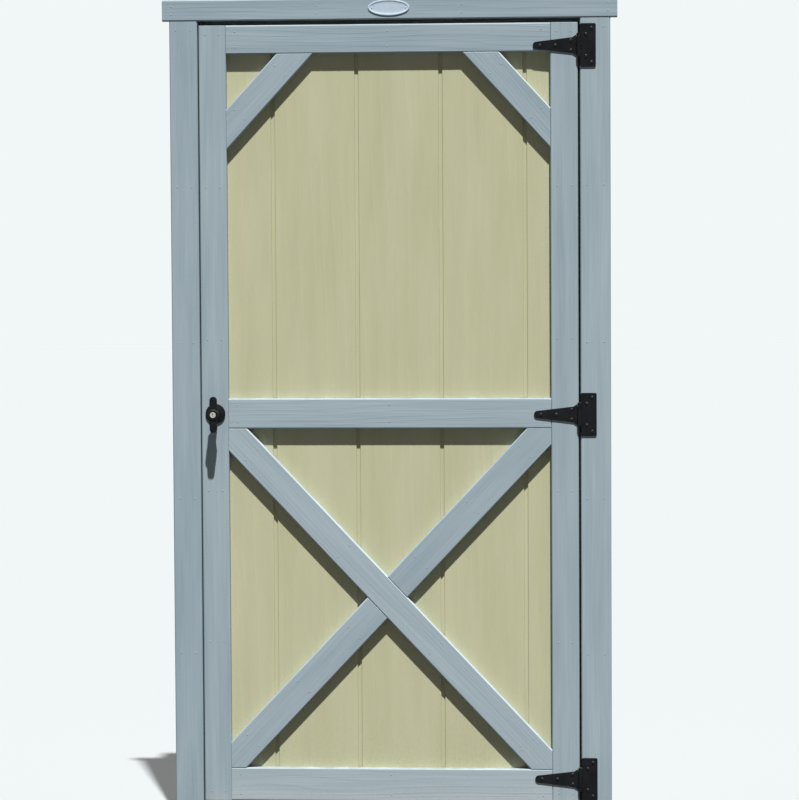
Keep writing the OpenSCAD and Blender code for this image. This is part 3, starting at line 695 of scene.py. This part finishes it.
def build_siding_tree():
    """A sheet with an even row of grooves down its front and one round bore through it."""
    sizes = ["Width", "Thickness", "Height", "Bottom", "First groove", "Pitch", "Mouth", "Floor", "Depth",
             "Bore X", "Bore Z", "Bore radius"]
    tree, given, result = new_geometry_tree("siding_sheet", [
        *[(label, "NodeSocketFloat") for label in sizes],
        ("Grooves", "NodeSocketInt"), ("Face", "NodeSocketMaterial"), ("Back", "NodeSocketMaterial")])

    def math_node(operation, first, second):
        node = add(tree, "ShaderNodeMath", operation=operation)
        for socket, value in zip(node.inputs, (first, second)):
            if isinstance(value, float):
                socket.default_value = value
            else:
                tree.links.new(value, socket)
        return node.outputs[0]

    def point(**parts):
        return add(tree, "ShaderNodeCombineXYZ", parts).outputs[0]

    size = point(X=given["Width"], Y=given["Thickness"], Z=given["Height"])
    middle = point(Y=math_node("MULTIPLY", given["Thickness"], 0.5),
                   Z=math_node("ADD", given["Bottom"], math_node("MULTIPLY", given["Height"], 0.5)))
    box = add(tree, "GeometryNodeMeshCube", {"Size": size})
    sheet = add(tree, "GeometryNodeTransform", {"Geometry": box.outputs["Mesh"], "Translation": middle})
    wide = math_node("SUBTRACT", math_node("MULTIPLY", given["Mouth"], 2.0), given["Floor"])
    outline = add(tree, "GeometryNodeCurvePrimitiveQuadrilateral", mode="TRAPEZOID")
    outline.inputs["Offset"].default_value = 0.0
    tree.links.new(wide, outline.inputs["Bottom Width"])
    tree.links.new(given["Floor"], outline.inputs["Top Width"])
    tree.links.new(math_node("MULTIPLY", given["Depth"], 2.0), outline.inputs["Height"])
    top = math_node("ADD", math_node("ADD", given["Bottom"], given["Height"]), CUT_OVER)
    path = add(tree, "GeometryNodeCurvePrimitiveLine",
               {"Start": point(Z=math_node("SUBTRACT", given["Bottom"], CUT_OVER)), "End": point(Z=top)})
    cutter = add(tree, "GeometryNodeCurveToMesh",
                 {"Curve": path.outputs["Curve"], "Profile Curve": outline.outputs["Curve"]},
                 {"Fill Caps": True})
    edge = math_node("MULTIPLY", given["Width"], -0.5)
    first = point(X=math_node("ADD", edge, given["First groove"]))
    row = add(tree, "GeometryNodeMeshLine",
              {"Count": given["Grooves"], "Start Location": first, "Offset": point(X=given["Pitch"])})
    cutters = add(tree, "GeometryNodeInstanceOnPoints",
                  {"Points": row.outputs["Mesh"], "Instance": cutter.outputs["Mesh"]})
    rod = add(tree, "GeometryNodeMeshCylinder", {"Radius": given["Bore radius"]},
              {"Vertices": BORE_SIDES, "Depth": BORE_LENGTH})
    bore = add(tree, "GeometryNodeTransform",
               {"Geometry": rod.outputs["Mesh"], "Translation": point(X=given["Bore X"], Z=given["Bore Z"])},
               {"Rotation": (math.radians(90), 0, 0)})
    removed = add(tree, "GeometryNodeJoinGeometry")
    tree.links.new(cutters.outputs["Instances"], removed.inputs[0])
    tree.links.new(bore.outputs["Geometry"], removed.inputs[0])
    plain = add(tree, "GeometryNodeRealizeInstances", {"Geometry": removed.outputs[0]})
    cut = add(tree, "GeometryNodeMeshBoolean", operation="DIFFERENCE")
    tree.links.new(sheet.outputs["Geometry"], cut.inputs["Mesh 1"])
    tree.links.new(plain.outputs["Geometry"], cut.inputs["Mesh 2"])
    flat = add(tree, "GeometryNodeSetShadeSmooth", {"Geometry": cut.outputs["Mesh"]}, {"Shade Smooth": False})
    whole = add(tree, "GeometryNodeRealizeInstances", {"Geometry": flat.outputs["Geometry"]})
    painted = add(tree, "GeometryNodeSetMaterial",
                  {"Geometry": whole.outputs["Geometry"], "Material": given["Face"]})
    normal = add(tree, "ShaderNodeSeparateXYZ", {"Vector": add(tree, "GeometryNodeInputNormal").outputs[0]})
    behind = add(tree, "FunctionNodeCompare", {0: normal.outputs["Y"]}, {1: FACES_BACK},
                 operation="GREATER_THAN")
    backed = add(tree, "GeometryNodeSetMaterial",
                 {"Geometry": painted.outputs["Geometry"], "Selection": behind.outputs[0],
                  "Material": given["Back"]})
    tree.links.new(backed.outputs["Geometry"], result.inputs["Geometry"])
    return tree


# %% Siding sheet
def grow(piece, tree, values):
    """Runs a geometry tree on a piece with the named inputs, and leaves its result as a plain mesh."""
    scene.collection.objects.link(piece)
    modifier = piece.modifiers.new(tree.name, "NODES")
    modifier.node_group = tree
    for socket in tree.interface.items_tree:
        if socket.in_out == "INPUT" and socket.name in values:
            modifier[socket.identifier] = values[socket.name]
    return settle(piece)


GROOVE_PITCH, FIRST_GROOVE = 0.2032, 0.177
GROOVE_MOUTH, GROOVE_FLOOR, GROOVE_DEPTH = 0.010, 0.009, 0.0035
BORE_RADIUS = 0.010
SIDING_SHIFT = Vector((3.0, 5.0, 2.0))
sheet_low, sheet_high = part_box("siding_panel")
rose_low, rose_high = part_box("lock_rose")
sheet_width = sheet_high.x - sheet_low.x
bare_sheet = bpy.data.objects.new("siding_sheet", bpy.data.meshes.new("siding_sheet"))
siding = grow(bare_sheet, build_siding_tree(), {
    "Width": sheet_width,
    "Thickness": sheet_high.y - sheet_low.y,
    "Height": sheet_high.z - sheet_low.z,
    "Bottom": sheet_low.z,
    "First groove": FIRST_GROOVE,
    "Pitch": GROOVE_PITCH,
    "Mouth": GROOVE_MOUTH,
    "Floor": GROOVE_FLOOR,
    "Depth": GROOVE_DEPTH,
    "Grooves": 1 + int((sheet_width - GROOVE_MOUTH - FIRST_GROOVE) / GROOVE_PITCH),
    "Bore X": (rose_low.x + rose_high.x) / 2,
    "Bore Z": (rose_low.z + rose_high.z) / 2,
    "Bore radius": BORE_RADIUS,
    "Face": siding_paint,
    "Back": siding_back,
})
lay_grain(siding, UP, SIDING_SHIFT)
hand_over(siding, "siding_panel")
print("siding faces:", len(siding.data.polygons), "finishes:", [m.name for m in siding.data.materials])

# %% [markdown]
# ## Hinges, handle and latch
# The hinge plates are pressed sheet, the knuckles are rolled round the pin, and the handle is a casting.
# Their shapes are right already, so they get the same treatment as the boards with a smaller radius:
# thin metal has crisp edges, but none that would cut a finger.

# %% Metal pieces
METAL_EASED = 0.0004
SHORTEST_METAL_EDGE = 0.0001
HINGES = ["top", "middle", "bottom"]
METAL = {
    "black_iron": (black_iron, [
        *[hinge + part for hinge in HINGES for part in ("_hinge_plate", "_hinge_pin", "_hinge_strap")],
        "lock_rose", "inner_plate", "lever"]),
    "bright_steel": (bright_steel, ["spindle", "latch_cam", "key_plug"]),
    "black_screws": (black_screws, ["cam_set_screw"]),
}
for slot_name, (finish, nodes) in METAL.items():
    for node in nodes:
        piece = rounded(node, node + "_metal", METAL_EASED, SHORTEST_METAL_EDGE, True, finish)
        hand_over(piece, node)
print("metal pieces:", sum(len(nodes) for finish, nodes in METAL.values()))

# %% [markdown]
# ## Screws with a cross recess
# Every hinge is held by eight dome-headed screws, and each was driven home at its own angle. The solids
# have them as plain domes. One good screw is modelled here: a lathe profile for head and shank, with a
# cross sunk into the crown. Geometry Nodes then set a copy on each place and give it a random turn.
# The places are read from the solids: each loose part of a screw solid is one screw.

# %% One screw
SCREW_SIDES = 24
SCREW_PROFILE = [(0.0, 0.0024), (0.0009, 0.00236), (0.0019, 0.0021), (0.0029, 0.0016), (0.0037, 0.0010),
                 (0.0042, 0.0003), (0.0041, 0.0), (0.0019, 0.0), (0.0019, -0.016), (0.0, -0.0175)]
RECESS_ARM, RECESS_HALF, RECESS_DEPTH = 0.0021, 0.0004, 0.0014
RECESS_TAPER, RECESS_OVER = 0.45, 0.001
SCREW_SHARP = math.radians(35)


def lathe(profile, sides):
    """A closed shape of revolution round Z, from radius and height pairs that start and end on the axis."""
    shape = bmesh.new()
    rings = []
    for radius, height in profile:
        count = sides if radius > 0 else 1
        angles = [2 * math.pi * step / sides for step in range(count)]
        rings.append([shape.verts.new((radius * math.cos(a), radius * math.sin(a), height)) for a in angles])
    for upper, lower in zip(rings, rings[1:]):
        for step in range(sides):
            corners = [upper[step % len(upper)], upper[(step + 1) % len(upper)],
                       lower[(step + 1) % len(lower)], lower[step % len(lower)]]
            shape.faces.new(list(dict.fromkeys(corners)))
    bmesh.ops.recalc_face_normals(shape, faces=shape.faces)
    return shape


def new_piece(name, shape):
    """An object in the scene that has a finished shape as its mesh."""
    mesh = bpy.data.meshes.new(name)
    shape.to_mesh(mesh)
    shape.free()
    piece = bpy.data.objects.new(name, mesh)
    scene.collection.objects.link(piece)
    return piece


def cross_recess():
    """The tapered cross that the driver fits, as a closed shape."""
    shape = bmesh.new()
    top = SCREW_PROFILE[0][1]
    for long_x, long_y in ((RECESS_ARM, RECESS_HALF), (RECESS_HALF, RECESS_ARM)):
        block = bmesh.ops.create_cube(shape, size=2.0)["verts"]
        for vertex in block:
            taper = 1.0 if vertex.co.z > 0 else RECESS_TAPER
            height = top + RECESS_OVER if vertex.co.z > 0 else top - RECESS_DEPTH
            reach_x = long_x * (taper if long_x > long_y else 1.0)
            reach_y = long_y * (taper if long_y > long_x else 1.0)
            vertex.co = Vector((vertex.co.x * reach_x, vertex.co.y * reach_y, height))
    return shape


screw_shape = new_piece("screw", lathe(SCREW_PROFILE, SCREW_SIDES))
recess_shape = new_piece("recess", cross_recess())
recess_cut = screw_shape.modifiers.new("recess", "BOOLEAN")
recess_cut.operation = "DIFFERENCE"
recess_cut.object = recess_shape
recess_cut.use_self = True
settle(screw_shape)
bpy.data.objects.remove(recess_shape)
screw_shape.data.shade_smooth()
screw_shape.data.set_sharp_from_angle(angle=SCREW_SHARP)
print("screw faces:", len(screw_shape.data.polygons))

# %% Copies set on points
def build_placing_tree(name):
    """Sets one shape on every point, turned to the point's facing and by a random angle about it."""
    tree, given, result = new_geometry_tree(name, [
        ("Shape", "NodeSocketObject"), ("Finish", "NodeSocketMaterial"), ("Seed", "NodeSocketInt")])
    facing = add(tree, "GeometryNodeInputNamedAttribute", values={"Name": "facing"}, data_type="FLOAT_VECTOR")
    upright = add(tree, "FunctionNodeAlignRotationToVector", {"Vector": facing.outputs[0]}, axis="Z")
    turn = add(tree, "FunctionNodeRandomValue", {"Seed": given["Seed"]}, data_type="FLOAT")
    turn.inputs[3].default_value = 2 * math.pi
    about = add(tree, "ShaderNodeCombineXYZ", {"Z": turn.outputs[1]})
    spun = add(tree, "FunctionNodeRotateRotation",
               {"Rotation": upright.outputs[0], "Rotate By": about.outputs[0]}, rotation_space="LOCAL")
    shape = add(tree, "GeometryNodeObjectInfo", {"Object": given["Shape"]})
    copies = add(tree, "GeometryNodeInstanceOnPoints",
                 {"Points": given["Geometry"], "Instance": shape.outputs["Geometry"],
                  "Rotation": spun.outputs[0]})
    plain = add(tree, "GeometryNodeRealizeInstances", {"Geometry": copies.outputs["Instances"]})
    dressed = add(tree, "GeometryNodeSetMaterial",
                  {"Geometry": plain.outputs["Geometry"], "Material": given["Finish"]})
    tree.links.new(dressed.outputs["Geometry"], result.inputs["Geometry"])
    return tree


placing = build_placing_tree("set_on_points")
print("tree:", placing.name)


def set_on_points(name, places, shape, finish, seed):
    """One piece made of copies of a shape; each place is a point and the direction that it faces."""
    mesh = bpy.data.meshes.new(name)
    mesh.from_pydata([point for point, facing in places], [], [])
    facing_layer = mesh.attributes.new("facing", "FLOAT_VECTOR", "POINT")
    for entry, (point, facing) in zip(facing_layer.data, places):
        entry.vector = facing
    piece = bpy.data.objects.new(name, mesh)
    return grow(piece, placing, {"Shape": shape, "Finish": finish, "Seed": seed})


# %% Screws in their places
SCREW_TURN_SEED = 5
SORTING_DIGITS = 4
HEAD_RISE = SCREW_PROFILE[0][1]


def loose_boxes(node):
    """The box of each loose part of a solid, as pairs of corners, sorted so that every run agrees."""
    shape = bmesh.new()
    shape.from_mesh(frame["nodes"][node].data)
    bmesh.ops.remove_doubles(shape, verts=shape.verts, dist=WELD)
    waiting = set(shape.verts)
    boxes = []
    while waiting:
        reached = [waiting.pop()]
        part = list(reached)
        while reached:
            vertex = reached.pop()
            for edge in vertex.link_edges:
                other = edge.other_vert(vertex)
                if other in waiting:
                    waiting.remove(other)
                    reached.append(other)
                    part.append(other)
        low = Vector([min(vertex.co[axis] for vertex in part) for axis in range(3)])
        high = Vector([max(vertex.co[axis] for vertex in part) for axis in range(3)])
        boxes.append((low, high))
    shape.free()
    return sorted(boxes, key=lambda box: [round(value, SORTING_DIGITS) for value in box[0]])


def screw_places(node, facing):
    """Where the heads of a screw solid are seated."""
    places = []
    for low, high in loose_boxes(node):
        seat = low.y + HEAD_RISE if facing is FRONT else high.y - HEAD_RISE
        places.append((Vector(((low.x + high.x) / 2, seat, (low.z + high.z) / 2)), facing))
    return places


plate_screws = [hinge + "_plate_screws" for hinge in HINGES]
front_screws = [hinge + "_strap_screws" for hinge in HINGES] + ["rose_screws"]
frame_places = [spot for node in plate_screws for spot in screw_places(node, FRONT)]
leaf_places = [spot for node in front_screws for spot in screw_places(node, FRONT)]
leaf_places += screw_places("inner_plate_screws", BEHIND)
frame_screws = set_on_points("frame_screws", frame_places, screw_shape, black_screws, SCREW_TURN_SEED)
leaf_screws = set_on_points("leaf_screws", leaf_places, screw_shape, black_screws, SCREW_TURN_SEED + 1)
for screws, body, nodes in ((frame_screws, "frame", plate_screws),
                            (leaf_screws, "leaf", front_screws + ["inner_plate_screws"])):
    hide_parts(*nodes)
    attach(screws, body)
bpy.data.objects.remove(screw_shape)
print("screws:", len(frame_places) + len(leaf_places))

# %% [markdown]
# ## Painted-over nails
# The face boards are nailed to the sheet and the casings to the wall, and the heads were painted with
# the boards. Close to, they show as small round swellings in two rows along each board. The same tree
# that set the screws sets them. A rule gives their places: a pair near each end of a board and pairs
# between, left out where a hinge or the handle covers the wood.

# %% Nails
NAIL_SIDES = 12
NAIL_PROFILE = [(0.0, 0.0005), (0.0011, 0.00045), (0.0018, 0.0002), (0.0021, -0.0002), (0.0, -0.0004)]
NAIL_END, NAIL_EDGE, NAIL_STEP = 0.022, 0.016, 0.42
BRACE_END = 0.085
NAIL_CLEAR = 0.004
NAIL_SEED = 3
HINGE_SHEETS = [hinge + part for hinge in HINGES for part in ("_hinge_plate", "_hinge_strap")]
HARDWARE = ["lock_rose", "lever", *HINGE_SHEETS]


def covered(point):
    """Whether metal lies over this point of the door's face."""
    for node in HARDWARE:
        low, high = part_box(node)
        beside = low.x - NAIL_CLEAR < point.x < high.x + NAIL_CLEAR
        if beside and low.z - NAIL_CLEAR < point.z < high.z + NAIL_CLEAR:
            return True
    return False


def nail_places(node):
    """Pairs of points along a face board, one near each edge, on its front."""
    along = SLANTED.get(node) or run_of(node)
    across = BEHIND.cross(along)
    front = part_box(node)[0].y
    ways = [vertex.co.dot(along) for vertex in frame["nodes"][node].data.vertices]
    sides = [vertex.co.dot(across) for vertex in frame["nodes"][node].data.vertices]
    end = BRACE_END if node in SLANTED else NAIL_END
    pairs = 2 + int((max(ways) - min(ways)) / NAIL_STEP)
    step = (max(ways) - min(ways) - 2 * end) / (pairs - 1)
    places = []
    for index in range(pairs):
        for side in (min(sides) + NAIL_EDGE, max(sides) - NAIL_EDGE):
            point = along * (min(ways) + end + step * index) + across * side
            point.y = front
            if not covered(point):
                places.append((point, FRONT))
    return places


NAILED = {
    "frame": ["strike_casing", "hinge_casing", "head_casing"],
    "leaf": ["strike_stile", "hinge_stile", "top_rail", "lock_rail", "bottom_rail", *SLANTED],
}
nail_shape = new_piece("nail", lathe(NAIL_PROFILE, NAIL_SIDES))
nail_shape.data.shade_smooth()
for body, nodes in NAILED.items():
    places = [spot for node in nodes for spot in nail_places(node)]
    nails = set_on_points(body + "_nails", places, nail_shape, trim_paint, NAIL_SEED)
    lay_grain(nails, UP, Vector())
    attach(nails, body)
    print(body, "nails:", len(places))
bpy.data.objects.remove(nail_shape)

# %% [markdown]
# ## The bare plate on the head
# A pale oval plate sits in the middle of the head casing. It is left plain here: a pressed field inside
# a raised rim, held by two rivets. It is built ring by ring from an oval that shrinks towards the
# middle, because a scaled disc would get a rim that is thick at the ends and thin at the sides.

# %% Oval plate
PLATE_HALF_WIDTH, PLATE_HALF_HEIGHT = 0.050, 0.0195
PLATE_X, PLATE_RAISED = 0.004, 0.0025
PLATE_SIDES = 96
PLATE_SHARP = math.radians(50)
PLATE_RINGS = [(0.0, 0.0), (0.0, 0.0012), (0.0004, 0.0018), (0.0012, 0.0020), (0.0028, 0.0020),
               (0.0038, 0.0018), (0.0050, 0.0012), (0.0062, 0.0010), (0.0120, 0.0010)]
RIVET_PROFILE = [(0.0, 0.0013), (0.0010, 0.0011), (0.0017, 0.0006), (0.0020, 0.0), (0.0, -0.0006)]
RIVET_REACH = 0.041
RIVET_SIDES = 16
pale_enamel = build_plain_metal("pale_enamel", srgb(175, 192, 205), srgb(186, 202, 213),
                                metal=0.0, dull_low=0.34, dull_high=0.46)

head_low, head_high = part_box("head_casing")
plate_z = (head_low.z + head_high.z) / 2 + PLATE_RAISED
oval = bmesh.new()
rings = []
for inset, rise in PLATE_RINGS:
    ring = []
    for step in range(PLATE_SIDES):
        angle = 2 * math.pi * step / PLATE_SIDES
        x = PLATE_X + (PLATE_HALF_WIDTH - inset) * math.cos(angle)
        z = plate_z + (PLATE_HALF_HEIGHT - inset) * math.sin(angle)
        ring.append(oval.verts.new((x, head_low.y - rise, z)))
    rings.append(ring)
for outer, inner in zip(rings, rings[1:]):
    for step in range(PLATE_SIDES):
        after = (step + 1) % PLATE_SIDES
        oval.faces.new((outer[step], outer[after], inner[after], inner[step]))
oval.faces.new(rings[0])
oval.faces.new(rings[-1])
bmesh.ops.recalc_face_normals(oval, faces=oval.faces)
plate = new_piece("head_plate", oval)
plate.data.materials.append(pale_enamel)
plate.data.shade_smooth()
plate.data.set_sharp_from_angle(angle=PLATE_SHARP)
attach(plate, "frame")

rivet_shape = new_piece("rivet", lathe(RIVET_PROFILE, RIVET_SIDES))
rivet_shape.data.shade_smooth()
field_y = head_low.y - PLATE_RINGS[-1][1]
rivet_places = [(Vector((PLATE_X + side * RIVET_REACH, field_y, plate_z)), FRONT) for side in (-1, 1)]
rivets = set_on_points("plate_rivets", rivet_places, rivet_shape, pale_enamel, NAIL_SEED)
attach(rivets, "frame")
bpy.data.objects.remove(rivet_shape)
print("plate:", len(plate.data.polygons), "faces, rivets:", len(rivet_places))
